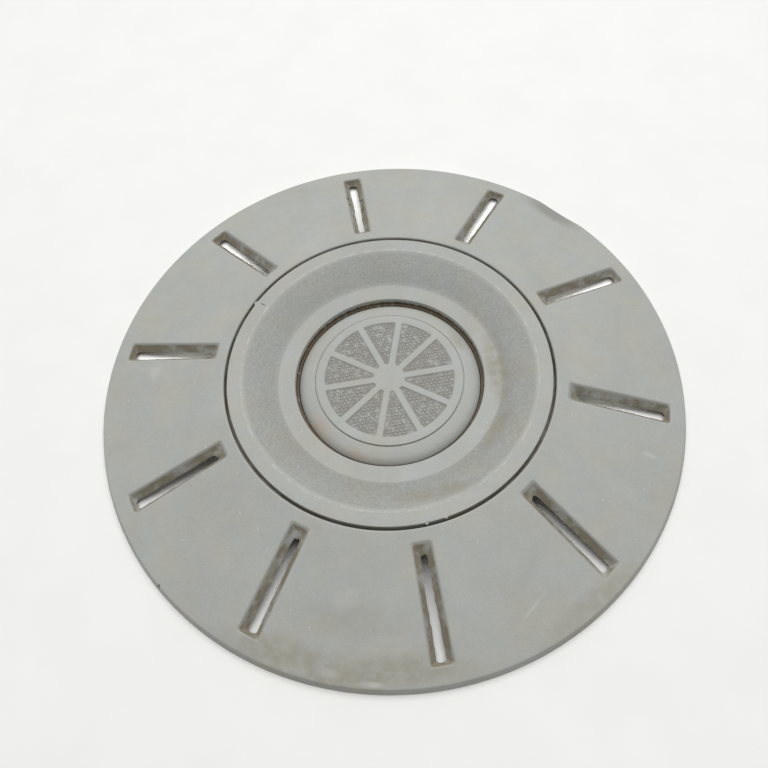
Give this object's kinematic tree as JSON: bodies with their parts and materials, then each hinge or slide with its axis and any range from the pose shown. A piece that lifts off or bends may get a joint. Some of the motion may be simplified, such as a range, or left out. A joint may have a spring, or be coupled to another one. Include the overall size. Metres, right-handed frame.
{
  "type": "hubcap",
  "caption": "Push-on plastic wheel centre cap: slotted cone-shaped outer ring, dished centre cover, round badge and sprung wire ring behind.",
  "frame": {"origin": "centre of the rim's foot, in the plane on which the cap rests", "axes": "+Z along the cap's axis, out of its visible face; +Y through the middle of one slot; the pry scoop lies 38.5 degrees from +X"},
  "size_m": [0.257, 0.257, 0.0171],
  "materials": {
    "grey_plastic": "satin grey moulded plastic, scuffed, with dirt in the slots and the recess",
    "spring_steel": "drawn spring wire, dull"
  },
  "bodies": {
    "root": {"outer_ring": "grey_plastic", "centre_cover": "grey_plastic", "centre_badge": "grey_plastic", "retaining_ring": "spring_steel"}
  },
  "joints": []
}
